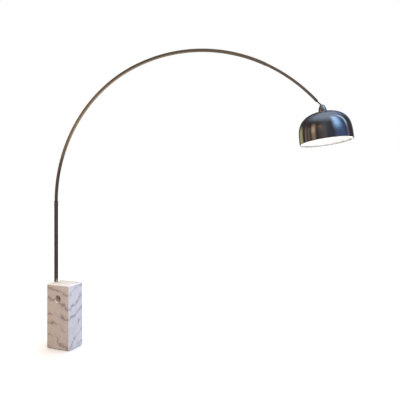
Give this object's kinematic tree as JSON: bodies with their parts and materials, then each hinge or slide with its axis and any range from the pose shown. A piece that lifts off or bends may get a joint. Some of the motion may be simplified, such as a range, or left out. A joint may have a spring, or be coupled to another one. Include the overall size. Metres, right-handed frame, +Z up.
{
  "type": "arc floor lamp",
  "caption": "Arc floor lamp: a marble block foot, a square telescopic steel mast sweeping over in an arc, and a spun metal bowl shade on a tilting, turning knuckle.",
  "frame": {"origin": "middle of the underside of the foot, on the floor", "axes": "+X from the foot towards the shade, in the plane of the arc; +Z up; +Y across the foot"},
  "size_m": [2.4651, 0.349, 2.4159],
  "materials": {
    "marble": "polished white marble with soft grey veins",
    "mast_steel": "satin brushed stainless steel, dark warm grey",
    "dark_steel": "dark satin steel",
    "hardware": "zinc-plated steel",
    "chrome": "polished chrome plate",
    "shade_metal": "spun aluminium, polished dark nickel outside and gloss white inside",
    "rubber": "black rubber and flex jacket",
    "felt": "dark grey felt",
    "nylon": "natural nylon",
    "porcelain": "glazed white porcelain",
    "brass": "bright brass",
    "opal_glass": "opal white glass"
  },
  "bodies": {
    "stand": {"marble_base": "marble", "floor_pad": "felt", "stem_foot_plug": "hardware", "tie_rod_washer": "hardware", "tie_rod_nut": "hardware", "tie_rod": "hardware", "stem_tube": "mast_steel", "stem_screw_1": "dark_steel", "stem_screw_2": "dark_steel", "cable_grommet": "rubber", "arc_lower_tube": "mast_steel", "arc_upper_tube": "mast_steel", "arc_coupling": "hardware", "coupling_screw_lower": "chrome", "coupling_screw_upper": "chrome", "extension_screw": "chrome", "supply_cable": "rubber"},
    "mast_end": {"head_cable": "rubber", "arc_end_tube": "mast_steel", "end_tube_slider": "nylon", "mast_end_plug": "dark_steel", "pivot_rod_nut": "hardware", "pivot_rod": "dark_steel"},
    "knuckle": {"knuckle_fork": "dark_steel", "knuckle_washer_near": "nylon", "knuckle_washer_far": "nylon", "knuckle_screw": "chrome", "knuckle_nut": "chrome", "nipple_nut": "hardware"},
    "shade_head": {"shade_cap": "shade_metal", "shade_seat_ring": "felt", "reflector_bowl": "shade_metal", "holder_bell": "chrome", "holder_body": "porcelain", "holder_cap": "porcelain", "shade_ring": "porcelain", "holder_shell": "brass", "centre_contact": "brass", "bulb_tip": "brass", "bulb_cap": "brass", "bulb_glass": "opal_glass"}
  },
  "joints": [
    {"name": "mast_extend", "type": "hinge", "parent": "stand", "child": "mast_end", "pos_m": [1.10062, 0, 1.08581], "axis": [0, 1, 0], "range_deg": [-12, 4]},
    {"name": "head_tilt", "type": "hinge", "parent": "mast_end", "child": "knuckle", "pos_m": [2.14312, 0, 1.90239], "axis": [0, 1, 0], "range_deg": [-45, 15]},
    {"name": "head_turn", "type": "hinge", "parent": "knuckle", "child": "shade_head", "pos_m": [2.14312, 0, 1.90239], "axis": [-0.117, 0, 0.9931], "range_deg": [-170, 170]}
  ]
}
